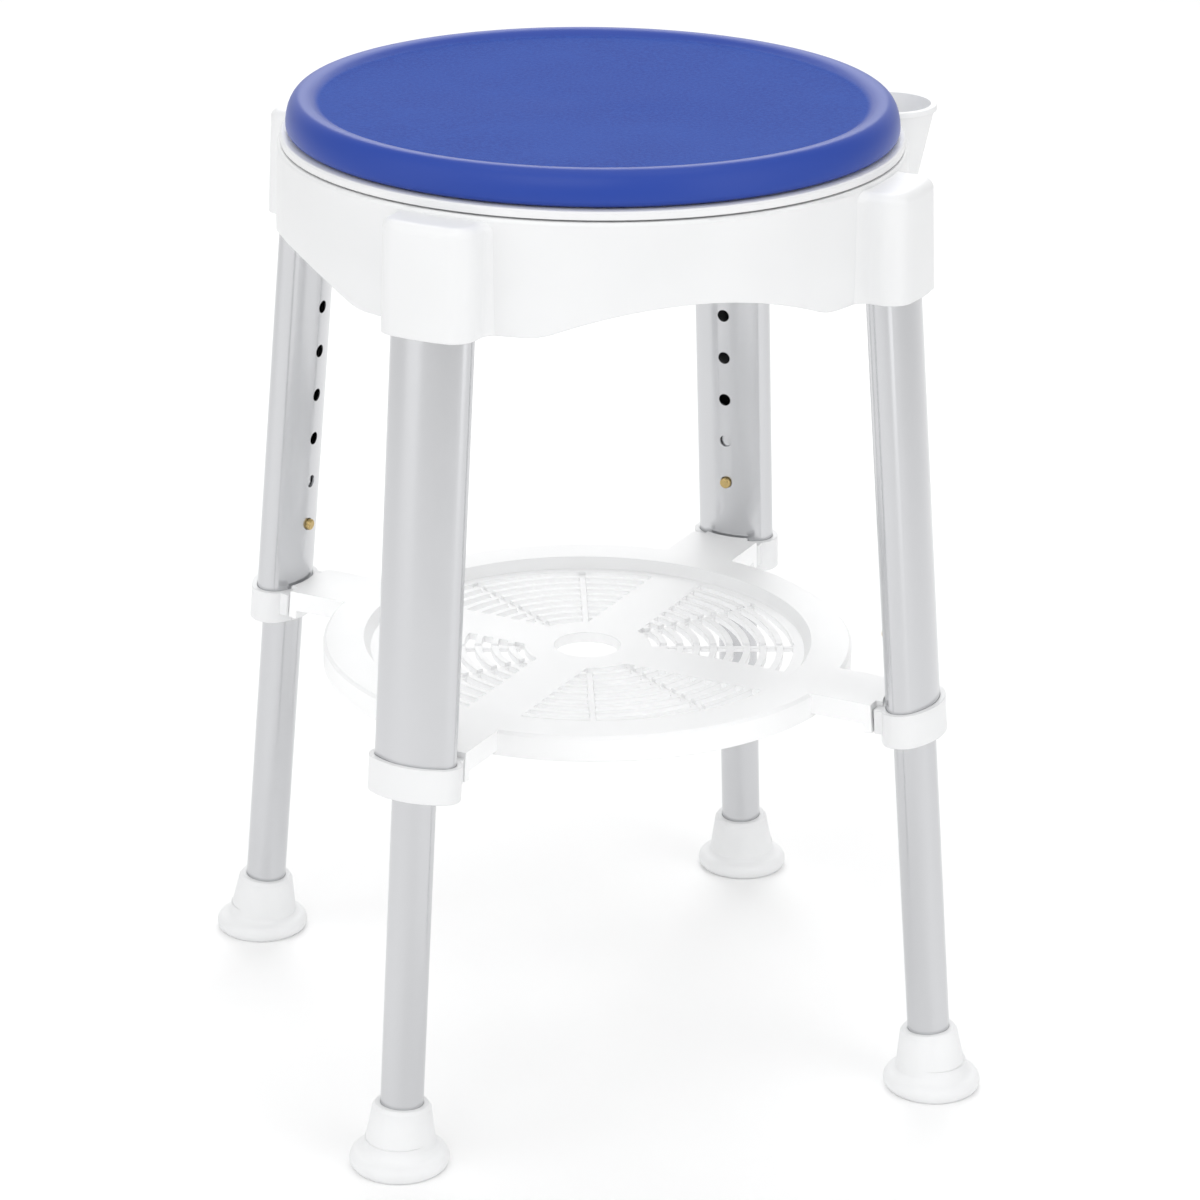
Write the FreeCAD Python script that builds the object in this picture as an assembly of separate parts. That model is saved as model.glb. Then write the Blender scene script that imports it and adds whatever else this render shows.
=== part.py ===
import FreeCAD, Part
import math
import os

Vector = FreeCAD.Vector
Rotation = FreeCAD.Rotation
Placement = FreeCAD.Placement

# Height-adjustable shower stool: a round pad on a swivel plate, a moulded seat base with four corner
# sockets, four splayed telescopic legs, a round shelf tray clamped to the legs, four rubber feet and
# a conical hand-shower holder. Millimetres, +Z up, origin on the floor at the centre of the stance.

# ---------------------------------------------------------------- legs
SPLAY = 5.11                # lean of each leg towards the middle, degrees
STANCE_R = 208.3            # radius at the floor of the circle through the leg axes
LEG_ANGLES = {"fl": 225.0, "fr": 315.0, "br": 45.0, "bl": 135.0}
GAP = 0.15                  # gap between pieces that are fixed together

TUBE_R = 11.1               # round lower tube, 7/8 inch
TUBE_WALL = 1.2
LOWER_START = 9.0           # measured along the leg axis from the floor
LOWER_END = 288.0

OVAL_W = 44.4               # oval upper tube, wide side across the leg
OVAL_T = 24.8
OVAL_END_R = 8.0
OVAL_WALL = 1.0
UPPER_START = 201.5
UPPER_END = 486.0

HOLE_PITCH = 25.4           # one inch steps
HOLE_COUNT = 7
HOLE_R = 3.5
BUTTON_S = 254.2            # lowest hole, where the button sits at rest
BUTTON_R = 3.15
BUTTON_PROUD = 2.4          # how far the button stands out of the upper tube
BUTTON_TRAVEL = 4.0
BUTTON_FLANGE_R = 4.3
BUTTON_FLANGE_T = 1.8

BUSH_LENGTH = 30.0          # plastic guide in the mouth of the upper tube
BUSH_RUN = 0.08             # running clearance round the lower tube
GUIDE_LENGTH = 9.0          # oval guide on top of the lower tube
GUIDE_RUN = 0.3

# ---------------------------------------------------------------- feet
FOOT_TOP = 33.6
FOOT_RIM_R = 15.2
FOOT_WAIST_R = 19.0
FOOT_FLANGE_R = 25.7
FOOT_TREAD_R = 23.6
FOOT_FLANGE_Z = 8.5
WASHER_T = 1.5

# ---------------------------------------------------------------- seat base
BASE_BOTTOM = 434.5
BASE_TOP = 492.2
ARCH_TOP = 450.5
BASE_R_BOTTOM = 163.0
BASE_R_TOP = 161.6
SKIRT_WALL = 3.3
DECK_BOTTOM = 484.0
DECK_TOP = 487.5
RIM_INNER_R = 156.0
ARCH_HALF = 81.0            # half length of the arch between two sockets
ARCH_CROWN_R = 125.0
ARCH_END_R = 25.0
LOBE_TOP = 490.5
LOBE_OUT = 185.6            # outermost radius of a corner socket at its foot
LOBE_HALF = 25.2
LOBE_CORNER_R = 12.0
LOBE_ROOT_R = 9.0
LOBE_BITE = 0.8             # how deep the hollow beside a socket runs into the skirt
LOBE_LEAN = 2.6             # how far the top of a socket steps in
LOBE_TOP_FILLET = 5.0
SOCKET_SEAT = -OVAL_T / 2 - 3.0  # where the head of the socket screw bears, in leg coordinates
RIB_T = 2.8
RIB_BOTTOM = 478.0
HUB_BOTTOM = 470.0
HUB_R = 24.0

# ---------------------------------------------------------------- swivel and pad
HUB_BORE_R = 17.0
PIVOT_R = 14.0
PIVOT_RUN = 0.06
PLATE_R = 159.8
PLATE_BOTTOM = 494.3
PLATE_TOP = 497.3
PLATE_LIP_BOTTOM = 493.2
PAD_BOTTOM = 497.5
PAD_R = 157.0
PAD_TOP = 516.0
GLIDE_R = (112.0, 124.0)
GLIDE_TOP = 494.0

# ---------------------------------------------------------------- shelf tray
SHELF_R = 141.7
SHELF_TOP = 219.0
SHELF_BOTTOM = 205.5
SHELF_WALL = 3.0
RECESS_R = 120.0
FLOOR_R = 116.5
FLOOR_TOP = 213.0
FLOOR_BOTTOM = 209.4
CENTRE_HOLE_R = 17.9
HUB_RING_R = 34.0
SPOKE_HALF = 15.0
RIB_HALF = 1.7
RIB_DROP = 1.6
RIB_ANGLE = 16.5            # thin ribs either side of the middle of each grid sector
SLOT_COUNT = 9
SLOT_PITCH = 8.9
SLOT_WIDTH = 5.2
ARM_HALF = 20.0
ARM_END = 171.5
ARM_BOTTOM = 208.0
ARM_WALL = 2.0

# ---------------------------------------------------------------- collars
COLLAR_START = 200.5
COLLAR_END = 218.5
COLLAR_WALL = 2.9
NECK_HALF = 12.5            # middle of the arm's end, between the two ends of the strap
LUG_HEIGHT = 12.6
FLANGE_BACK = -19.6         # the arm's end plate, in leg coordinates
FLANGE_FRONT = -15.2
EAR_REACH = -14.2           # thick ends of the strap, drawn towards that plate by the screws
EAR_INNER = 13.0
EAR_OUTER = 20.2
COLLAR_SCREW_Y = 15.3
COLLAR_SHANK_R = 1.5
COLLAR_HEAD_R = 2.5
SCREW_SHANK_R = 1.9
SCREW_HEAD_R = 3.4
SCREW_HEAD_T = 2.2

# ---------------------------------------------------------------- hand-shower holder
HOLDER_ANGLE = 14.5
HOLDER_R = 188.9            # radius of its centre from the swivel axis
HOLDER_TOP = 487.5
HOLDER_BOTTOM = 443.0
CUP_TOP_R = 25.0
CUP_BOTTOM_R = 16.0
CUP_WALL = 2.6
CUP_RIM = 0.8

Z_AXIS = Vector(0, 0, 1)
ORIGIN = Vector(0, 0, 0)


# ---------------------------------------------------------------- small helpers
def cylinder(radius, length, base, direction=Z_AXIS):
    return Part.makeCylinder(radius, length, base, direction)


def ring(outer, inner, bottom, top):
    return cylinder(outer, top - bottom, Vector(0, 0, bottom)).cut(
        cylinder(inner, top - bottom + 2, Vector(0, 0, bottom - 1)))


def box(low, high):
    size = [b - a for a, b in zip(low, high)]
    return Part.makeBox(size[0], size[1], size[2], Vector(*low))


def arc(first, middle, last):
    return Part.Arc(first, middle, last).toShape()


def line(first, last):
    return Part.makeLine(first, last)


def revolve(edges, offset=ORIGIN):
    """A closed profile in the XZ plane, turned about the vertical line through offset."""
    face = Part.Face(Part.Wire(edges))
    face.translate(offset)
    return face.revolve(offset, Z_AXIS, 360)


def profile(points):
    """Straight edges round a list of (radius, height) points."""
    corners = [Vector(radius, 0, height) for radius, height in points]
    return [line(a, b) for a, b in zip(corners, corners[1:] + corners[:1])]


def one_solid(shape):
    """The cleaned shape as a single solid."""
    clean = shape.removeSplitter()
    return clean.Solids[0] if len(clean.Solids) == 1 else clean


def turned(shape, angle):
    copy = shape.copy()
    copy.rotate(ORIGIN, Z_AXIS, angle)
    return copy


def on_leg(shape, angle):
    """From leg coordinates (X outwards, Y across, Z up the leg axis) to its place under the seat."""
    lean = Placement(Vector(STANCE_R, 0, 0), Rotation(Vector(0, 1, 0), -SPLAY))
    copy = shape.copy()
    copy.Placement = lean.multiply(copy.Placement)
    return turned(copy, angle)


def save(name, shape):
    os.makedirs("parts", exist_ok=True)
    if not shape.isValid():
        raise ValueError(name + " is not a valid shape")
    shape.exportStep("parts/" + name + ".step")


# ---------------------------------------------------------------- oval section of the upper tube
def oval(offset, start, end):
    """A prism up the leg axis with the upper tube's four-arc outline, grown by offset."""
    half_w = OVAL_W / 2 + offset
    half_t = OVAL_T / 2 + offset
    end_r = OVAL_END_R + offset
    across = half_w - end_r
    face_r = (across ** 2 + half_t ** 2 - end_r ** 2) / (2 * (half_t - end_r))
    lean = math.atan2(across, face_r - half_t)
    touch_x = half_t - face_r + face_r * math.cos(lean)
    touch_y = face_r * math.sin(lean)
    corners = [Vector(sx * touch_x, sy * touch_y, start) for sx, sy in ((1, -1), (1, 1), (-1, 1), (-1, -1))]
    crowns = [Vector(half_t, 0, start), Vector(0, half_w, start), Vector(-half_t, 0, start),
              Vector(0, -half_w, start)]
    edges = [arc(corners[i], crowns[i], corners[(i + 1) % 4]) for i in range(4)]
    return Part.Face(Part.Wire(edges)).extrude(Vector(0, 0, end - start))


def adjustment_holes():
    height = [BUTTON_S + HOLE_PITCH * n for n in range(HOLE_COUNT)]
    return [cylinder(HOLE_R, OVAL_T, Vector(-OVAL_T, 0, s), Vector(1, 0, 0)) for s in height]


SOCKET_SCREW_S = 463.0


def upper_leg():
    tube = oval(0, UPPER_START, UPPER_END).cut(oval(-OVAL_WALL, UPPER_START - 1, UPPER_END + 1))
    screw_hole = cylinder(SCREW_SHANK_R + GAP, OVAL_T, Vector(-OVAL_T, 0, SOCKET_SCREW_S), Vector(1, 0, 0))
    return one_solid(tube.cut(adjustment_holes() + [screw_hole]))


def leg_bush():
    plug = oval(-OVAL_WALL - GAP / 3, UPPER_START, UPPER_START + BUSH_LENGTH)
    bore = cylinder(TUBE_R + BUSH_RUN, BUSH_LENGTH + 2, Vector(0, 0, UPPER_START - 1))
    return plug.cut(bore)


def lower_leg():
    length = LOWER_END - LOWER_START
    tube = cylinder(TUBE_R, length, Vector(0, 0, LOWER_START)).cut(
        cylinder(TUBE_R - TUBE_WALL, length + 2, Vector(0, 0, LOWER_START - 1)))
    return tube.cut(cylinder(BUTTON_R + GAP, TUBE_R, Vector(-TUBE_R - 1, 0, BUTTON_S), Vector(1, 0, 0)))


def leg_top_guide():
    head = oval(-OVAL_WALL - GUIDE_RUN, LOWER_END, LOWER_END + GUIDE_LENGTH)
    spigot = cylinder(TUBE_R - TUBE_WALL - GAP, 12.0, Vector(0, 0, LOWER_END - 12.0))
    hollow = cylinder(TUBE_R - TUBE_WALL - 2.4, 40.0, Vector(0, 0, LOWER_END - 14.0))
    return head.fuse(spigot).cut(hollow)


def snap_button():
    tip = -OVAL_T / 2 - BUTTON_PROUD
    inside = -TUBE_R + TUBE_WALL + GAP
    pin = cylinder(BUTTON_R, inside - tip + 1.0, Vector(tip, 0, BUTTON_S), Vector(1, 0, 0))
    rounded = pin.makeFillet(1.1, [edge for edge in pin.Edges if abs(edge.BoundBox.XMax - tip) < 0.01])
    flange = cylinder(BUTTON_FLANGE_R, BUTTON_FLANGE_T, Vector(inside, 0, BUTTON_S), Vector(1, 0, 0))
    flange = flange.common(cylinder(-inside - GAP, 20, Vector(0, 0, BUTTON_S - 10)))
    return one_solid(rounded.fuse(flange))


def button_spring():
    """A bent leaf: its back lies on the far wall and its free arm stops where the pressed button ends."""
    leaf = 0.6
    half_width = 3.0
    back = TUBE_R - TUBE_WALL - 1.2
    front = -TUBE_R + TUBE_WALL + GAP + BUTTON_FLANGE_T + BUTTON_TRAVEL + 0.4
    bend_s = BUTTON_S - 46.0
    top_s = BUTTON_S + 8.0
    outline = [(back, top_s), (back, bend_s), (back - 4.0, bend_s - 4.0), (front, BUTTON_S - 6.0),
               (front, top_s), (front + leaf, top_s), (front + leaf, BUTTON_S - 5.8),
               (back - 3.7, bend_s - 3.2), (back - leaf, bend_s + 0.4), (back - leaf, top_s)]
    corners = [Vector(x, -half_width, s) for x, s in outline]
    face = Part.Face(Part.makePolygon(corners + corners[:1]))
    return face.extrude(Vector(0, 2 * half_width, 0))


# ---------------------------------------------------------------- feet
def foot():
    """Tapered rubber body round the leg axis, on a flat round flange that lies on the floor."""
    body_points = [(0, -6), (FOOT_WAIST_R + 0.8, -6), (FOOT_WAIST_R, 9), (FOOT_RIM_R + 1.0, FOOT_TOP - 8),
                   (FOOT_RIM_R, FOOT_TOP - 1.8), (FOOT_RIM_R - 1.4, FOOT_TOP), (0, FOOT_TOP)]
    body = on_leg(revolve(profile(body_points)), 0)
    tread = Vector(FOOT_TREAD_R, 0, 0)
    widest = Vector(FOOT_FLANGE_R, 0, FOOT_FLANGE_Z * 0.45)
    shoulder = Vector(FOOT_FLANGE_R - 3.0, 0, FOOT_FLANGE_Z)
    hollow = Vector(FOOT_WAIST_R + 0.6, 0, FOOT_FLANGE_Z + 1.9)
    waist = Vector(FOOT_WAIST_R - 1.3, 0, FOOT_FLANGE_Z + 7.0)
    top = Vector(0, 0, FOOT_FLANGE_Z + 7.0)
    flange_edges = [line(ORIGIN, tread), arc(tread, widest, shoulder), arc(shoulder, hollow, waist),
                    line(waist, top), line(top, ORIGIN)]
    flange = revolve(flange_edges, Vector(STANCE_R, 0, 0))
    below = box((STANCE_R - 60, -60, -40), (STANCE_R + 60, 60, 0))
    socket = on_leg(cylinder(TUBE_R + GAP / 3, FOOT_TOP, Vector(0, 0, LOWER_START - WASHER_T - GAP)), 0)
    return one_solid(body.fuse(flange).cut(below).cut(socket))


def foot_washer():
    disc = ring(TUBE_R - GAP, 3.2, LOWER_START - WASHER_T, LOWER_START - GAP / 3)
    return disc


# ---------------------------------------------------------------- seat base
def lobe_outline(side, z):
    """Half of a corner socket's plan outline, from the skirt to the middle of its outer face."""
    root_r = BASE_R_BOTTOM + LOBE_ROOT_R - LOBE_BITE
    root = Vector(math.sqrt(root_r ** 2 - (LOBE_HALF + LOBE_ROOT_R) ** 2), LOBE_HALF + LOBE_ROOT_R, 0)
    on_skirt = root * ((BASE_R_BOTTOM - LOBE_BITE) / root.Length)
    bisector = (on_skirt - root).normalize() + Vector(0, -1, 0)
    middle = root + bisector.normalize() * LOBE_ROOT_R
    straight_start = Vector(root.x, LOBE_HALF, 0)
    corner_centre = Vector(LOBE_OUT - LOBE_CORNER_R - 0.8, LOBE_HALF - LOBE_CORNER_R, 0)
    diagonal = Vector(1, 1, 0).normalize() * LOBE_CORNER_R
    points = [on_skirt, middle, straight_start, corner_centre + Vector(0, LOBE_CORNER_R, 0),
              corner_centre + diagonal, corner_centre + Vector(LOBE_CORNER_R, 0, 0)]
    return [Vector(p.x, side * p.y, z) for p in points]


def lobe():
    upper = lobe_outline(1, BASE_BOTTOM)
    lower = lobe_outline(-1, BASE_BOTTOM)
    nose = Vector(LOBE_OUT, 0, BASE_BOTTOM)
    inside = [Vector(BASE_R_BOTTOM - 12, point.y, BASE_BOTTOM) for point in (upper[0], lower[0])]
    edges = [arc(upper[0], upper[1], upper[2]), line(upper[2], upper[3]), arc(upper[3], upper[4], upper[5]),
             arc(upper[5], nose, lower[5]), arc(lower[5], lower[4], lower[3]), line(lower[3], lower[2]),
             arc(lower[2], lower[1], lower[0]), line(lower[0], inside[1]), line(inside[1], inside[0]),
             line(inside[0], upper[0])]
    block = Part.Face(Part.Wire(edges)).extrude(Vector(-LOBE_LEAN, 0, LOBE_TOP - BASE_BOTTOM))
    rounded = [edge for edge in block.Edges
               if edge.BoundBox.ZMin > LOBE_TOP - 0.1 and edge.BoundBox.XMax > BASE_R_BOTTOM - 5]
    return block.makeFillet(LOBE_TOP_FILLET, rounded)


def arch_cutter():
    """The space under the skirt between two sockets: a long crown arc with a small arc at each end."""
    rise = ARCH_TOP - BASE_BOTTOM
    radii = ARCH_CROWN_R + ARCH_END_R
    sweep = 2 * math.atan2(rise, ARCH_HALF)
    crown_r = ARCH_HALF / math.sin(sweep) * ARCH_CROWN_R / radii
    end_r = ARCH_HALF / math.sin(sweep) * ARCH_END_R / radii

    def crown(angle):
        return Vector(0, crown_r * math.sin(angle), ARCH_TOP - crown_r * (1 - math.cos(angle)))

    def foot_of(side, angle):
        across = side * (ARCH_HALF - end_r * math.sin(angle))
        return Vector(0, across, BASE_BOTTOM + end_r * (1 - math.cos(angle)))

    left = Vector(0, -ARCH_HALF, BASE_BOTTOM)
    right = Vector(0, ARCH_HALF, BASE_BOTTOM)
    drop = Vector(0, 0, -20)
    edges = [arc(left, foot_of(-1, sweep / 2), crown(-sweep)), arc(crown(-sweep), crown(0), crown(sweep)),
             arc(crown(sweep), foot_of(1, sweep / 2), right), line(right, right + drop),
             line(right + drop, left + drop), line(left + drop, left)]
    cutter = Part.Face(Part.Wire(edges)).extrude(Vector(80, 0, 0))
    cutter.translate(Vector(BASE_R_BOTTOM - 45, 0, 0))
    return cutter


def socket_screw_axis(radius, start, end):
    return cylinder(radius, end - start, Vector(start, 0, SOCKET_SCREW_S), Vector(1, 0, 0))


def seat_base():
    height = BASE_TOP - BASE_BOTTOM
    shell = Part.makeCone(BASE_R_BOTTOM, BASE_R_TOP, height, Vector(0, 0, BASE_BOTTOM))
    top_edge = [edge for edge in shell.Edges if edge.BoundBox.ZMin > BASE_TOP - 0.1]
    shell = shell.makeFillet(1.8, top_edge)
    cavity = cylinder(BASE_R_TOP - SKIRT_WALL, DECK_BOTTOM - BASE_BOTTOM + 5, Vector(0, 0, BASE_BOTTOM - 5))
    recess = cylinder(RIM_INNER_R, 20, Vector(0, 0, DECK_TOP))
    shell = shell.cut([cavity, recess])
    for angle in (0, 90, 180, 270):
        shell = shell.cut(turned(arch_cutter(), angle))

    solids = []
    for angle in LEG_ANGLES.values():
        solids.append(turned(lobe(), angle))
        for reach, lean in ((152, 0), (160, 45)):
            rib = box((HUB_R - 2, -RIB_T / 2, RIB_BOTTOM), (reach, RIB_T / 2, DECK_BOTTOM + 1))
            solids.append(turned(rib, angle + lean))
    solids.append(ring(101.4, 98.6, RIB_BOTTOM, DECK_BOTTOM + 1))
    solids.append(cylinder(HUB_R, DECK_BOTTOM - HUB_BOTTOM + 1, Vector(0, 0, HUB_BOTTOM)))
    body = shell.fuse(solids)

    holes = [cylinder(HUB_BORE_R, 40, Vector(0, 0, HUB_BOTTOM - 5))]
    for angle in LEG_ANGLES.values():
        holes.append(on_leg(oval(GAP, BASE_BOTTOM - 10, UPPER_END + GAP), angle))
        holes.append(on_leg(socket_screw_axis(SCREW_SHANK_R + GAP, -40, 0), angle))
        holes.append(on_leg(socket_screw_axis(SCREW_HEAD_R + 0.5, -40, SOCKET_SEAT), angle))
    for side in (-1, 1):
        holes.append(turned(holder_screw_axis(side, SCREW_SHANK_R + GAP, 150, 175), HOLDER_ANGLE))
    return one_solid(body.cut(holes))


def pivot_bush():
    top = DECK_TOP + 2.0
    bore = PIVOT_R + PIVOT_RUN
    outside = HUB_BORE_R - GAP
    points = [(bore, HUB_BOTTOM), (outside, HUB_BOTTOM), (outside, DECK_TOP + GAP),
              (HUB_R - 2, DECK_TOP + GAP), (HUB_R - 2, top), (bore, top)]
    return revolve(profile(points))


def glide_ring():
    return ring(GLIDE_R[1], GLIDE_R[0], DECK_TOP + GAP / 3, GLIDE_TOP)


# ---------------------------------------------------------------- swivel plate and pad
CUSHION_SCREW_R = 70.0
PIVOT_SCREW_R = 3.0


def swivel_plate():
    points = [(0, PLATE_BOTTOM), (PLATE_R - 3.0, PLATE_BOTTOM), (PLATE_R - 3.0, PLATE_LIP_BOTTOM),
              (PLATE_R, PLATE_LIP_BOTTOM), (PLATE_R, PLATE_TOP - 0.8), (PLATE_R - 0.8, PLATE_TOP),
              (0, PLATE_TOP)]
    plate = revolve(profile(points))
    boss = cylinder(PIVOT_R, PLATE_TOP - HUB_BOTTOM, Vector(0, 0, HUB_BOTTOM - 1))
    holes = [cylinder(PIVOT_SCREW_R + 0.05, PLATE_TOP - HUB_BOTTOM, Vector(0, 0, HUB_BOTTOM - 3))]
    for angle in LEG_ANGLES.values():
        hole = cylinder(SCREW_SHANK_R + GAP, 20, Vector(CUSHION_SCREW_R, 0, PLATE_BOTTOM - 5))
        holes.append(turned(hole, angle))
    return one_solid(plate.fuse(boss).cut(holes))


def pivot_washer():
    return ring(HUB_R - 4, PIVOT_SCREW_R + 0.3, HUB_BOTTOM - 3.6, HUB_BOTTOM - 1.1)


def pivot_screw():
    head_top = HUB_BOTTOM - 3.7
    head = cylinder(6.5, 4.0, Vector(0, 0, head_top - 4.0))
    key = cylinder(2.5, 2.4, Vector(0, 0, head_top - 5.0))
    shank = cylinder(PIVOT_SCREW_R, PLATE_TOP - HUB_BOTTOM - 6, Vector(0, 0, head_top))
    return one_solid(head.fuse(shank).cut(key))


def cushion_screws():
    solids = []
    for angle in LEG_ANGLES.values():
        shank = cylinder(SCREW_SHANK_R, 12, Vector(CUSHION_SCREW_R, 0, PLATE_BOTTOM - 0.2))
        under = Vector(CUSHION_SCREW_R, 0, PLATE_BOTTOM - 0.1 - SCREW_HEAD_T)
        head = cylinder(SCREW_HEAD_R, SCREW_HEAD_T, under)
        solids.append(turned(one_solid(shank.fuse(head)), angle))
    return Part.makeCompound(solids)


def seat_cushion():
    """Round pad: rolled edge, raised rim and a very shallow dish."""
    def at(radius, height):
        return Vector(radius, 0, height)
    centre_top = at(0, PAD_TOP - 4.0)
    half_way = at(PAD_R / 2, PAD_TOP - 3.5)
    dish_edge = at(PAD_R - 14.0, PAD_TOP - 1.9)
    crest = at(PAD_R - 8.0, PAD_TOP)
    widest = at(PAD_R, PAD_BOTTOM + 4.5)
    under = at(PAD_R - 6.0, PAD_BOTTOM)
    edges = [line(at(0, PAD_BOTTOM), under), arc(under, at(PAD_R - 1.5, PAD_BOTTOM + 1.4), widest),
             arc(widest, at(PAD_R - 1.9, PAD_TOP - 5.0), crest),
             arc(crest, at(PAD_R - 11.5, PAD_TOP - 0.5), dish_edge),
             line(dish_edge, half_way), line(half_way, centre_top), line(centre_top, at(0, PAD_BOTTOM))]
    pad = revolve(edges)
    holes = [turned(cylinder(SCREW_SHANK_R + GAP, 11, Vector(CUSHION_SCREW_R, 0, PAD_BOTTOM - 1)), angle)
             for angle in LEG_ANGLES.values()]
    return pad.cut(holes)


# ---------------------------------------------------------------- shelf tray and its collars
def thin_ribs(half, bottom, top):
    """Radial bars either side of the middle of each grid sector."""
    bars = []
    for angle in LEG_ANGLES.values():
        for lean in (45 - RIB_ANGLE, 45 + RIB_ANGLE):
            reach = HUB_RING_R + SLOT_COUNT * SLOT_PITCH - 3
            bars.append(turned(box((HUB_RING_R + 2, -half, bottom), (reach, half, top)), angle + lean))
    return bars


def grid_slots():
    """Concentric slots between the spokes and the thin ribs, whose tops lie a little below the floor's."""
    radii = [HUB_RING_R + SLOT_PITCH * n for n in range(SLOT_COUNT)]
    rings = [ring(radius + SLOT_WIDTH, radius, FLOOR_BOTTOM - 1, FLOOR_TOP + 1) for radius in radii]
    keep = thin_ribs(RIB_HALF, FLOOR_BOTTOM - 2, FLOOR_TOP - RIB_DROP)
    for angle in LEG_ANGLES.values():
        spoke = box((0, -SPOKE_HALF, FLOOR_BOTTOM - 2), (SHELF_R, SPOKE_HALF, FLOOR_TOP + 2))
        keep.append(turned(spoke, angle))
    bars = keep[0].fuse(keep[1:])
    above_ribs = thin_ribs(RIB_HALF, FLOOR_TOP - RIB_DROP, FLOOR_TOP + 1)
    return [one_ring.cut(bars) for one_ring in rings] + above_ribs


def lug(low_x, high_x, low_y, high_y, top=COLLAR_END):
    """A block beside the leg, in leg coordinates."""
    return box((low_x, low_y, COLLAR_END - LUG_HEIGHT), (high_x, high_y, top))


def collar_screw_axis(side, radius, start, end):
    height = COLLAR_END - LUG_HEIGHT / 2
    return cylinder(radius, end - start, Vector(start, side * COLLAR_SCREW_Y, height), Vector(1, 0, 0))


def collar_ring():
    return oval(COLLAR_WALL, COLLAR_START, COLLAR_END).cut(oval(GAP, COLLAR_START - 1, COLLAR_END + 1))


def shelf_arm():
    """A channel from the rim to the leg, with an end plate and a neck to a saddle on the leg."""
    channel = box((SHELF_R - 6, -ARM_HALF, ARM_BOTTOM), (ARM_END, ARM_HALF, SHELF_TOP))
    hollow = box((SHELF_R - 1, -ARM_HALF + ARM_WALL, ARM_BOTTOM - 1),
                 (ARM_END - SHELF_WALL, ARM_HALF - ARM_WALL, SHELF_TOP - SHELF_WALL))
    plate = lug(FLANGE_BACK, FLANGE_FRONT, -ARM_HALF, ARM_HALF, SHELF_TOP + 10)
    neck = lug(FLANGE_BACK, -8, -NECK_HALF, NECK_HALF, SHELF_TOP + 10).cut(oval(COLLAR_WALL / 2, 190, 240))
    saddle = collar_ring().common(box((-40, -NECK_HALF, COLLAR_START), (0, NECK_HALF, COLLAR_END)))
    holes = []
    for side in (-1, 1):
        holes.append(collar_screw_axis(side, COLLAR_SHANK_R + GAP, FLANGE_BACK - 1, FLANGE_FRONT + 1))
        holes.append(collar_screw_axis(side, COLLAR_HEAD_R + 0.4, -45, FLANGE_BACK))
    end = on_leg(plate.fuse([neck, saddle]), 0).common(box((0, -60, 0), (STANCE_R, 60, SHELF_TOP)))
    return channel.cut(hollow).fuse(end).cut([on_leg(hole, 0) for hole in holes])


def shelf_tray():
    rim_points = [(RECESS_R, SHELF_TOP), (SHELF_R - 1.5, SHELF_TOP), (SHELF_R, SHELF_TOP - 1.5),
                  (SHELF_R, SHELF_BOTTOM), (SHELF_R - SHELF_WALL, SHELF_BOTTOM),
                  (SHELF_R - SHELF_WALL, SHELF_TOP - SHELF_WALL), (RECESS_R + 1.5, SHELF_TOP - SHELF_WALL),
                  (FLOOR_R + 2.0, FLOOR_BOTTOM), (FLOOR_R - 2.0, FLOOR_BOTTOM), (FLOOR_R - 2.0, FLOOR_TOP),
                  (FLOOR_R, FLOOR_TOP)]
    rim = revolve(profile(rim_points))
    floor = ring(FLOOR_R, CENTRE_HOLE_R, FLOOR_BOTTOM, FLOOR_TOP).cut(grid_slots())
    hub_lip = ring(CENTRE_HOLE_R + 2.4, CENTRE_HOLE_R, FLOOR_BOTTOM - 2.0, FLOOR_TOP)
    arms = [turned(shelf_arm(), angle) for angle in LEG_ANGLES.values()]
    return one_solid(rim.fuse([floor, hub_lip] + arms))


def collar_strap():
    """The outer clamp: round the outside of the leg, thickened at both ends to take the screws."""
    around = collar_ring().cut(box((-60, -EAR_INNER, COLLAR_START - 1), (0, EAR_INNER, COLLAR_END + 1)))
    pieces = []
    holes = []
    for side in (-1, 1):
        low, high = sorted((side * EAR_INNER, side * EAR_OUTER))
        ear = lug(EAR_REACH, -5, low, high)
        front = [edge for edge in ear.Edges if abs(edge.BoundBox.Center.x - EAR_REACH) < 0.01]
        corner = [edge for edge in front if abs(edge.BoundBox.Center.y) > EAR_OUTER - 0.01]
        pieces.append(ear.makeFillet(1.8, corner).cut(oval(GAP, 190, 230)))
        holes.append(collar_screw_axis(side, COLLAR_SHANK_R + GAP / 3, EAR_REACH - 1, -9.6))
    return one_solid(around.fuse(pieces).cut(holes))


def collar_screws():
    """Two screws per collar, from inside the arm through its end plate into the strap."""
    seat = FLANGE_BACK - 0.05
    solids = []
    for angle in LEG_ANGLES.values():
        for side in (-1, 1):
            screw = collar_screw_axis(side, COLLAR_SHANK_R, seat - 0.1, -10.2).fuse(
                collar_screw_axis(side, COLLAR_HEAD_R, seat - SCREW_HEAD_T, seat))
            solids.append(on_leg(one_solid(screw), angle))
    return Part.makeCompound(solids)


def socket_screws():
    """One screw per socket, from inside the base through the boss into the upper tube."""
    seat = SOCKET_SEAT - 0.05
    solids = []
    for angle in LEG_ANGLES.values():
        screw = socket_screw_axis(SCREW_SHANK_R, seat - 0.1, seat + 9).fuse(
            socket_screw_axis(SCREW_HEAD_R, seat - SCREW_HEAD_T, seat))
        solids.append(on_leg(one_solid(screw), angle))
    return Part.makeCompound(solids)


# ---------------------------------------------------------------- hand-shower holder
HOLDER_PLATE = (BASE_R_BOTTOM + 0.35, BASE_R_BOTTOM + 3.6)
HOLDER_PLATE_HALF = 17.0
HOLDER_SCREW_Y = 12.5
HOLDER_SCREW_Z = 461.5


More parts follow.
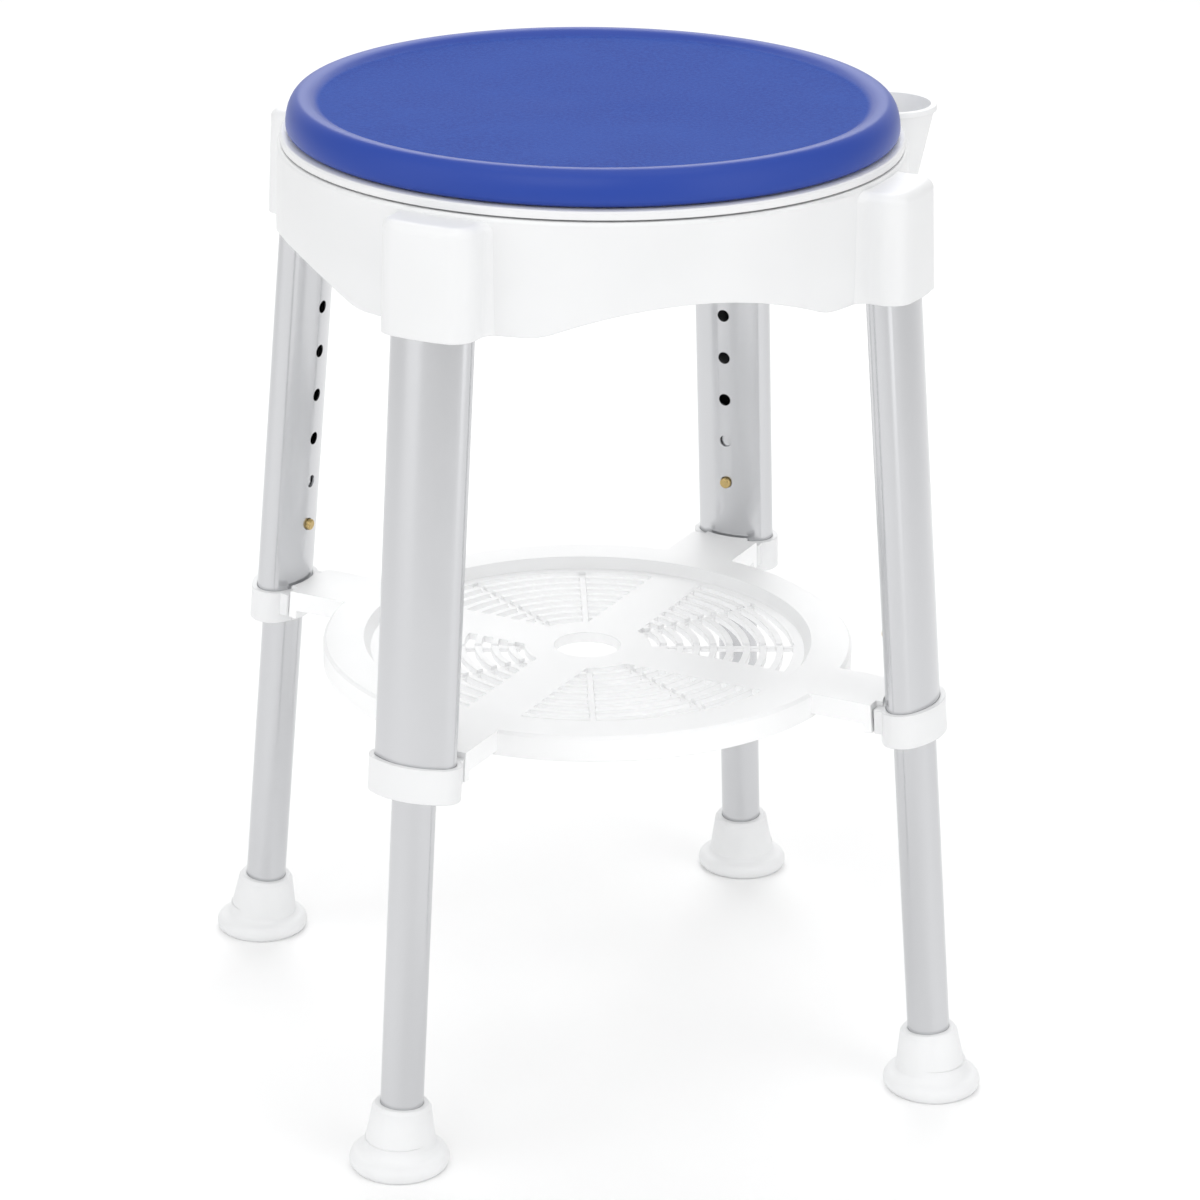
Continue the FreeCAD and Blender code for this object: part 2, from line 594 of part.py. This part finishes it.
def holder_screw_axis(side, radius, start, end):
    base = Vector(start, side * HOLDER_SCREW_Y, HOLDER_SCREW_Z)
    return cylinder(radius, end - start, base, Vector(1, 0, 0))


def shower_head_holder():
    """A conical cup on a curved plate that is screwed to the skirt."""
    depth = HOLDER_TOP - HOLDER_BOTTOM
    centre = Vector(HOLDER_R, 0, HOLDER_BOTTOM)
    cup = Part.makeCone(CUP_BOTTOM_R, CUP_TOP_R, depth, centre)
    rim = cylinder(CUP_TOP_R + CUP_RIM, 3.0, Vector(HOLDER_R, 0, HOLDER_TOP - 3.0))
    rim = rim.makeFillet(CUP_RIM, rim.Edges[0:1])
    slope = (CUP_TOP_R - CUP_BOTTOM_R) / depth
    bore = Part.makeCone(CUP_BOTTOM_R - CUP_WALL - slope, CUP_TOP_R - CUP_WALL + slope, depth + 2,
                         centre - Vector(0, 0, 1))
    plate = ring(HOLDER_PLATE[1], HOLDER_PLATE[0], HOLDER_BOTTOM + 12, HOLDER_TOP - 6)
    plate = plate.common(box((100, -HOLDER_PLATE_HALF, 0), (200, HOLDER_PLATE_HALF, 600)))
    web = box((HOLDER_PLATE[0] + 1, -4, HOLDER_BOTTOM + 12), (HOLDER_R - 6, 4, HOLDER_TOP - 8))
    web = web.cut(cylinder(HOLDER_PLATE[0] + 0.5, 200, Vector(0, 0, HOLDER_BOTTOM - 50)))
    holes = [holder_screw_axis(side, SCREW_SHANK_R + GAP, 150, 175) for side in (-1, 1)]
    cutters = [bore, cylinder(HOLDER_PLATE[0], 200, Vector(0, 0, HOLDER_BOTTOM - 50))] + holes
    return turned(one_solid(cup.fuse([rim, plate, web]).cut(cutters)), HOLDER_ANGLE)


def holder_screws():
    solids = []
    seat = HOLDER_PLATE[1] + 0.05
    for side in (-1, 1):
        screw = holder_screw_axis(side, SCREW_SHANK_R, seat - 11, seat + 0.1).fuse(
            holder_screw_axis(side, SCREW_HEAD_R, seat, seat + SCREW_HEAD_T))
        solids.append(turned(one_solid(screw), HOLDER_ANGLE))
    return Part.makeCompound(solids)


# ---------------------------------------------------------------- write every piece
LEG_PIECES = {
    "upper_leg": upper_leg,
    "leg_bush": leg_bush,
    "collar_strap": collar_strap,
    "lower_leg": lower_leg,
    "leg_top_guide": leg_top_guide,
    "foot_washer": foot_washer,
    "button_spring": button_spring,
    "snap_button": snap_button,
}
SINGLE_PIECES = {
    "seat_base": seat_base,
    "pivot_bush": pivot_bush,
    "glide_ring": glide_ring,
    "shelf_tray": shelf_tray,
    "collar_screws": collar_screws,
    "socket_screws": socket_screws,
    "shower_head_holder": shower_head_holder,
    "holder_screws": holder_screws,
    "swivel_plate": swivel_plate,
    "pivot_washer": pivot_washer,
    "pivot_screw": pivot_screw,
    "cushion_screws": cushion_screws,
    "seat_cushion": seat_cushion,
}


def main():
    for name, make in SINGLE_PIECES.items():
        save(name, make())
    for name, make in LEG_PIECES.items():
        piece = make()
        for leg, angle in LEG_ANGLES.items():
            save(name + "_" + leg, on_leg(piece, angle))
    rubber_foot = foot()
    for leg, angle in LEG_ANGLES.items():
        save("foot_" + leg, turned(rubber_foot, angle))


main()
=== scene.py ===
import math

import bmesh
import bpy
from mathutils import Matrix, Vector


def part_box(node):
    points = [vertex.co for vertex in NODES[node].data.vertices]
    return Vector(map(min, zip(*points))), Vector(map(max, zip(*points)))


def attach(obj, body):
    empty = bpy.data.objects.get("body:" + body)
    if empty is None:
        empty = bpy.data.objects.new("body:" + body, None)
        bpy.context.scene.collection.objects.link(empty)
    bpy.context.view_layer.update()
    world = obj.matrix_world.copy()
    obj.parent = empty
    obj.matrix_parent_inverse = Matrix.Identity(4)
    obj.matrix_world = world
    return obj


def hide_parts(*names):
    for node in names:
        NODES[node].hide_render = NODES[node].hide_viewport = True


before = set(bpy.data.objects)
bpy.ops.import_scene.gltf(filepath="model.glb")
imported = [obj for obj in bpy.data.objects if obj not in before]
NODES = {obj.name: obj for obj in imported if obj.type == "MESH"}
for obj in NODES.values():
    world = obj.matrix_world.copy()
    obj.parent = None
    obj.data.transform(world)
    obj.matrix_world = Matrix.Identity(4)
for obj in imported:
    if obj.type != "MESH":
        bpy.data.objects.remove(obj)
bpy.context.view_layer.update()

LEGS = ("fl", "fr", "br", "bl")

# Base colours are linear.
BLUE = (0.024, 0.062, 0.345)
WHITE = (0.83, 0.835, 0.84)
# the shelf's white is lighter than the seat's: painted light, making up for the shade the shelf sits in under
# the seat
TRAY_PAINTED_LIGHT_WHITE = (0.955, 0.958, 0.96)
CREAM = (0.80, 0.77, 0.67)
RUBBER = (0.86, 0.865, 0.87)
ALUMINIUM = (0.63, 0.635, 0.65)
STEEL = (0.55, 0.56, 0.58)
BRASS = (0.62, 0.46, 0.20)
DARK = (0.03, 0.03, 0.033)
FOAM_GRAIN_AND_PAINTED_LIGHT_TINT = (1.15, 1.30, 1.10)    # how much lighter the sitting face is than the foam: partly its grain, partly painted light on the top face

GRAIN_DEPTH = 0.00004       # metres, in moulded plastic
FACE_INNER = 0.1395         # the sitting face, with its grain and painted light, fades out between these two radii
FACE_OUTER = 0.1435


# ---------------------------------------------------------------- materials
class Nodes:
    """A material's node tree with short calls for the nodes used here."""

    def __init__(self, name):
        self.material = bpy.data.materials.new(name)
        self.material.use_nodes = True
        self.tree = self.material.node_tree
        self.bsdf = self.tree.nodes["Principled BSDF"]
        self.coords = self.tree.nodes.new("ShaderNodeTexCoord").outputs["Object"]

    def set(self, **values):
        for name, value in values.items():
            self.bsdf.inputs[name.replace("_", " ")].default_value = value
        return self

    def link(self, output, socket):
        self.tree.links.new(output, self.bsdf.inputs[socket])
        return self

    def noise(self, scale, detail=3.0, roughness=0.5):
        node = self.tree.nodes.new("ShaderNodeTexNoise")
        node.inputs["Scale"].default_value = scale
        node.inputs["Detail"].default_value = detail
        node.inputs["Roughness"].default_value = roughness
        self.tree.links.new(self.coords, node.inputs["Vector"])
        return node.outputs["Fac"]

    def cells(self, scale):
        node = self.tree.nodes.new("ShaderNodeTexVoronoi")
        node.inputs["Scale"].default_value = scale
        self.tree.links.new(self.coords, node.inputs["Vector"])
        return node.outputs["Distance"]

    def remap(self, value, low, high, to_low, to_high, smooth=False):
        node = self.tree.nodes.new("ShaderNodeMapRange")
        node.interpolation_type = "SMOOTHSTEP" if smooth else "LINEAR"
        sockets = ("From Min", "From Max", "To Min", "To Max")
        for name, number in zip(sockets, (low, high, to_low, to_high)):
            node.inputs[name].default_value = number
        self.tree.links.new(value, node.inputs["Value"])
        return node.outputs["Result"]

    def mix(self, factor, first, second):
        node = self.tree.nodes.new("ShaderNodeMix")
        node.data_type = "RGBA"
        for socket, value in ((6, first), (7, second)):
            if isinstance(value, tuple):
                node.inputs[socket].default_value = (*value, 1.0)
            else:
                self.tree.links.new(value, node.inputs[socket])
        self.tree.links.new(factor, node.inputs[0])
        return node.outputs[2]

    def math(self, operation, first, second=None):
        node = self.tree.nodes.new("ShaderNodeMath")
        node.operation = operation
        for socket, value in ((0, first), (1, second)):
            if isinstance(value, (int, float)):
                node.inputs[socket].default_value = value
            elif value is not None:
                self.tree.links.new(value, node.inputs[socket])
        return node.outputs[0]

    def radius(self):
        """Distance from the swivel axis, in metres."""
        parts = self.tree.nodes.new("ShaderNodeSeparateXYZ")
        self.tree.links.new(self.coords, parts.inputs[0])
        x_squared = self.math("POWER", parts.outputs[0], 2.0)
        y_squared = self.math("POWER", parts.outputs[1], 2.0)
        return self.math("SQRT", self.math("ADD", x_squared, y_squared))

    def edge_sharpness(self):
        """About 0.5 on flats, and more on sharp outside edges."""
        node = self.tree.nodes.new("ShaderNodeNewGeometry")
        return node.outputs["Pointiness"]

    def bump(self, height, distance, strength=1.0, normal=None):
        node = self.tree.nodes.new("ShaderNodeBump")
        node.inputs["Strength"].default_value = strength
        node.inputs["Distance"].default_value = distance
        self.tree.links.new(height, node.inputs["Height"])
        if normal is not None:
            self.tree.links.new(normal, node.inputs["Normal"])
        return node.outputs["Normal"]

    def rounded(self, radius):
        node = self.tree.nodes.new("ShaderNodeBevel")
        node.samples = 4
        node.inputs["Radius"].default_value = radius
        return node.outputs["Normal"]


def scaled(base, factor):
    """A colour a little darker or lighter than base."""
    return tuple(channel * factor for channel in base)


def moulded_plastic(name, base, roughness, edge=0.0006):
    """Satin moulded plastic: soft flow marks, fine spark-eroded grain and slightly lighter sharp outside
    edges.
    """
    m = Nodes(name)
    flow = m.noise(9.0, 2.0)
    fine = m.noise(2600.0, 2.0, 0.6)
    dust = m.noise(140.0, 5.0, 0.65)
    tint = m.mix(m.remap(flow, 0.35, 0.65, 0.0, 1.0, True), base, scaled(base, 0.965))
    # lighter on sharp outside edges
    tint = m.mix(m.remap(m.edge_sharpness(), 0.50, 0.56, 0.0, 0.3), tint, scaled(base, 1.03))
    m.link(tint, "Base Color")
    m.link(m.remap(dust, 0.3, 0.7, roughness - 0.06, roughness + 0.08), "Roughness")
    m.link(m.bump(fine, GRAIN_DEPTH, 0.6, m.rounded(edge)), "Normal")
    return m.set(IOR=1.49)


def anodised(name, base, roughness, grain_scale):
    """Satin anodised aluminium: a very fine even grain and faint handling marks."""
    m = Nodes(name)
    grain = m.noise(grain_scale, 2.0)
    patches = m.noise(9.0, 2.0)
    tint = m.mix(m.remap(grain, 0.3, 0.7, 0.0, 1.0), scaled(base, 0.985), base)
    tint = m.mix(m.remap(patches, 0.4, 0.7, 0.0, 0.3, True), tint, scaled(base, 0.97))
    m.link(tint, "Base Color")
    m.link(m.remap(m.noise(45.0, 3.0), 0.3, 0.7, roughness - 0.015, roughness + 0.02), "Roughness")
    m.link(m.bump(grain, 0.000004, 0.2), "Normal")
    return m.set(Metallic=1.0)


def metal(name, base, roughness):
    """Plain turned or stamped metal with fine marks."""
    m = Nodes(name)
    marks = m.noise(900.0, 4.0, 0.6)
    m.link(m.mix(m.remap(marks, 0.3, 0.7, 0.0, 1.0), scaled(base, 0.82), base), "Base Color")
    m.link(m.remap(m.noise(300.0, 3.0), 0.3, 0.7, roughness - 0.06, roughness + 0.1), "Roughness")
    m.link(m.bump(marks, 0.00003, 0.5, m.rounded(0.0003)), "Normal")
    return m.set(Metallic=1.0)


def rubber(name, base):
    """Matt rubber with a very fine grain."""
    m = Nodes(name)
    soft = m.noise(24.0, 3.0)
    fine = m.noise(1500.0, 3.0, 0.65)
    m.link(m.mix(m.remap(soft, 0.35, 0.65, 0.0, 1.0, True), base, scaled(base, 0.955)), "Base Color")
    m.link(m.remap(fine, 0.3, 0.7, 0.48, 0.66), "Roughness")
    m.link(m.bump(fine, 0.00006, 0.5, m.rounded(0.0008)), "Normal")
    return m.set(IOR=1.52)


def foam_skin(name, base):
    """Integral-skin foam: smooth satin on the rolled edge, fine leathery grain on the sitting face, which is
    also painted lighter as if lit from above.
    """
    m = Nodes(name)
    face = m.remap(m.radius(), FACE_INNER, FACE_OUTER, 1.0, 0.0, True)
    cells = m.cells(900.0)
    fibre = m.noise(1400.0, 4.0, 0.7)
    mottle = m.noise(520.0, 3.0, 0.6)
    cloud = m.noise(13.0, 3.0, 0.55)
    speck = m.remap(m.math("MULTIPLY", m.math("ADD", mottle, fibre), 0.5), 0.42, 0.60, 0.0, 1.0)
    # the speck colour of the sitting face: the foam's grain together with painted light that makes the top
    # face lighter than the edge
    light = tuple(channel * factor for channel, factor in zip(base, FOAM_GRAIN_AND_PAINTED_LIGHT_TINT))
    grain_and_painted_light = m.mix(speck, scaled(base, 0.86), light)
    grain_and_painted_light = m.mix(m.remap(cloud, 0.40, 0.70, 0.0, 0.45, True), grain_and_painted_light, light)
    m.link(m.mix(face, base, grain_and_painted_light), "Base Color")
    m.link(m.remap(face, 0.0, 1.0, 0.34, 0.66), "Roughness")
    m.link(m.remap(face, 0.0, 1.0, 0.26, 0.08), "Specular IOR Level")
    height = m.math("MULTIPLY", m.math("ADD", cells, fibre), face)
    m.link(m.bump(height, 0.00016, 0.55), "Normal")
    return m.set(IOR=1.45)


def paint(material, *names):
    for name in names:
        mesh = NODES[name].data
        mesh.materials.clear()
        mesh.materials.append(material)


def on_each_leg(*stems):
    return [stem + "_" + leg for stem in stems for leg in LEGS]


shell_white = moulded_plastic("shell_white", WHITE, 0.36).material
# the shelf: white plastic painted lighter than the seat's, making up for the shade under the seat
tray_painted_light_white = moulded_plastic("tray_painted_light_white", TRAY_PAINTED_LIGHT_WHITE, 0.40, 0.0004).material
bush_cream = moulded_plastic("bush_cream", CREAM, 0.45, 0.0003).material
guide_black = moulded_plastic("guide_black", DARK, 0.5, 0.0003).material
tube_outer = anodised("tube_outer", ALUMINIUM, 0.24, 1100.0).material
tube_inner = anodised("tube_inner", scaled(ALUMINIUM, 0.97), 0.22, 1300.0).material
foot_white = rubber("foot_white", RUBBER).material
screw_steel = metal("screw_steel", STEEL, 0.30).material
spring_steel = metal("spring_steel", scaled(STEEL, 0.7), 0.35).material
button_brass = metal("button_brass", BRASS, 0.30).material
pad_blue = foam_skin("pad_blue", BLUE).material

paint(shell_white, "seat_base", "swivel_plate", "shower_head_holder", *on_each_leg("collar_strap"))
paint(tray_painted_light_white, "shelf_tray")
paint(bush_cream, "pivot_bush", "glide_ring", *on_each_leg("leg_bush"))
paint(guide_black, *on_each_leg("leg_top_guide"))
paint(tube_outer, *on_each_leg("upper_leg"))
paint(tube_inner, *on_each_leg("lower_leg"))
paint(foot_white, *on_each_leg("foot"))
paint(screw_steel, "pivot_washer", "pivot_screw", "cushion_screws", "collar_screws", "socket_screws",
      "holder_screws", *on_each_leg("foot_washer"))
paint(spring_steel, *on_each_leg("button_spring"))
paint(button_brass, *on_each_leg("snap_button"))


# ---------------------------------------------------------------- the pad
def turned_mesh(name, profile, segments, wobble):
    """A profile of (radius, height) turned about the swivel axis; wobble shifts the heights."""
    mesh = bpy.data.meshes.new(name)
    bm = bmesh.new()
    rings = []
    for i in range(segments):
        angle = 2 * math.pi * i / segments
        ring = []
        for radius, height in profile:
            lifted = height + wobble(angle, radius, height)
            ring.append(bm.verts.new((radius * math.cos(angle), radius * math.sin(angle), lifted)))
        rings.append(ring)
    for a, b in zip(rings, rings[1:] + rings[:1]):
        for j in range(len(profile) - 1):
            bm.faces.new((a[j], b[j], b[j + 1], a[j + 1]))
    bm.faces.new([ring[0] for ring in reversed(rings)])
    bm.faces.new([ring[-1] for ring in rings])
    bm.to_mesh(mesh)
    bm.free()
    for polygon in mesh.polygons:
        polygon.use_smooth = True
    piece = bpy.data.objects.new(name, mesh)
    bpy.context.scene.collection.objects.link(piece)
    return piece


def bezier(points, count):
    """Points along a cubic curve with four control points, without its last point."""
    a, b, c, d = (Vector(p) for p in points)
    out = []
    for i in range(count):
        t = i / count
        p = a * (1 - t) ** 3 + b * 3 * t * (1 - t) ** 2 + c * 3 * t * t * (1 - t) + d * t ** 3
        out.append((p.x, p.y))
    return out


pad_low, pad_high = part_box("seat_cushion")
edge = pad_high.x
bottom = pad_low.z
top = pad_high.z
crease = edge - 0.0152


def pad_profile():
    """From under the middle round the rolled edge, over the crest of the rim and down into the crease."""
    side = (edge, bottom + 0.0042)
    crest = (edge - 0.0082, top)
    fold = (crease, top - 0.0027)
    face_edge = (crease - 0.0080, top - 0.0037)
    points = [(0.02, bottom), (0.08, bottom)]
    points += bezier([(edge - 0.0085, bottom), (edge - 0.0035, bottom), (edge, bottom + 0.0012), side], 8)
    points += bezier([side, (edge, bottom + 0.0105), (edge - 0.0026, top), crest], 14)
    points += bezier([crest, (edge - 0.0112, top), (crease + 0.0022, top - 0.0012), fold], 9)
    points += bezier([fold, (crease - 0.0012, top - 0.0035), (crease - 0.0025, top - 0.0037), face_edge], 6)
    dish = ((crease - 0.012, 0.0037), (0.105, 0.0040), (0.080, 0.0043), (0.050, 0.0046), (0.020, 0.0047))
    return points + [(radius, top - depth) for radius, depth in dish]


def soft_face(angle, radius, height):
    """The sitting face is slightly uneven, as foam is."""
    if height < top - 0.008 or radius > crease:
        return 0.0
    fade = min(1.0, (crease - radius) / 0.03)
    return 0.00035 * fade * (math.sin(2 * angle + 0.7) + 0.6 * math.sin(3 * angle + 2.1 + 18 * radius))


pad = turned_mesh("pad", pad_profile(), 192, soft_face)
smooth = pad.modifiers.new("smooth", "SUBSURF")
smooth.levels = smooth.render_levels = 1
pad.data.materials.append(pad_blue)
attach(pad, "seat")
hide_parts("seat_cushion")


# ---------------------------------------------------------------- floor, lights, camera
def plain(name, colour, roughness):
    """A nearly even matt surface."""
    m = Nodes(name)
    cloud = m.noise(1.5, 3.0)
    m.link(m.mix(cloud, colour, scaled(colour, 0.99)), "Base Color")
    m.set(Roughness=roughness)
    return m.material


def floor():
    mesh = bpy.data.meshes.new("floor")
    size = 12.0
    corners = [(-size, -size, 0), (size, -size, 0), (size, size, 0), (-size, size, 0)]
    mesh.from_pydata(corners, [], [(0, 1, 2, 3)])
    piece = bpy.data.objects.new("floor", mesh)
    mesh.materials.append(plain("floor_white", (0.97, 0.97, 0.97), 0.85))
    bpy.context.scene.collection.objects.link(piece)


def softbox(name, place, aim, size, power):
    data = bpy.data.lights.new(name, "AREA")
    data.shape = "RECTANGLE"
    data.size, data.size_y = size
    data.energy = power
    lamp = bpy.data.objects.new(name, data)
    lamp.location = place
    lamp.rotation_mode = "QUATERNION"
    lamp.rotation_quaternion = (Vector(aim) - Vector(place)).to_track_quat("-Z", "Y")
    bpy.context.scene.collection.objects.link(lamp)


def world_wall(tree, level, swing, bright_at):
    """Light level all round the tent: three soft brighter panels, one of them at the plan angle bright_at."""
    direction = tree.nodes.new("ShaderNodeTexCoord").outputs["Generated"]
    parts = tree.nodes.new("ShaderNodeSeparateXYZ")
    tree.links.new(direction, parts.inputs[0])
    value = None
    steps = (("ARCTAN2", None), ("MULTIPLY", 3.0), ("ADD", -3.0 * math.radians(bright_at)), ("COSINE", None),
             ("MULTIPLY", swing), ("ADD", level))
    for operation, number in steps:
        node = tree.nodes.new("ShaderNodeMath")
        node.operation = operation
        if operation == "ARCTAN2":
            tree.links.new(parts.outputs[1], node.inputs[0])
            tree.links.new(parts.outputs[0], node.inputs[1])
        else:
            tree.links.new(value, node.inputs[0])
            if number is not None:
                node.inputs[1].default_value = number
        value = node.outputs[0]
    return value


def studio():
    """A white tent with five soft lights."""
    world = bpy.data.worlds.new("tent")
    bpy.context.scene.world = world
    world.use_nodes = True
    background = world.node_tree.nodes["Background"]
    background.inputs["Color"].default_value = (1.0, 1.0, 1.0, 1.0)
    wall = world_wall(world.node_tree, 0.76, 0.33, 192.0)
    world.node_tree.links.new(wall, background.inputs["Strength"])
    softbox("left", (-2.3, -0.3, 0.95), (0, 0, 0.3), (1.3, 2.0), 3)
    softbox("right", (1.2, -2.0, 0.95), (0, 0, 0.3), (1.2, 2.0), 5)
    softbox("back", (0.7, 2.2, 2.1), (0, 0, 0.25), (1.8, 1.6), 20)
    softbox("top", (0.0, -0.3, 3.0), (0, 0, 0), (2.6, 2.6), 15)
    softbox("key", (-1.2, -2.0, 2.0), (0, 0, 0.25), (1.8, 1.4), 14)
    bpy.context.scene.view_settings.view_transform = "Standard"


floor()
studio()

AZIMUTH = math.radians(-18.26)
ELEVATION = math.radians(20.98)
ROLL = math.radians(0.59)
DISTANCE = 2.1603
TARGET = Vector((0, 0, 0.23868))
LENS = 121.116              # mm, on a 36 mm sensor
SENSOR = 36.0
SHIFT_X = 0.0100333         # of the picture's width

level = math.cos(ELEVATION)
back = Vector((math.sin(AZIMUTH) * level, -math.cos(AZIMUTH) * level, math.sin(ELEVATION)))
right = (-back).cross(Vector((0, 0, 1))).normalized()
up = right.cross(-back)
right_rolled = right * math.cos(ROLL) + up * math.sin(ROLL)
up_rolled = up * math.cos(ROLL) - right * math.sin(ROLL)
camera_data = bpy.data.cameras.new("camera")
camera_data.sensor_width = SENSOR
camera_data.lens = LENS
camera_data.shift_x = SHIFT_X
camera_data.clip_start = 0.05
camera = bpy.data.objects.new("camera", camera_data)
camera.matrix_world = Matrix((
    (right_rolled.x, up_rolled.x, back.x, TARGET.x + back.x * DISTANCE),
    (right_rolled.y, up_rolled.y, back.y, TARGET.y + back.y * DISTANCE),
    (right_rolled.z, up_rolled.z, back.z, TARGET.z + back.z * DISTANCE),
    (0, 0, 0, 1)))
bpy.context.scene.collection.objects.link(camera)
bpy.context.scene.camera = camera
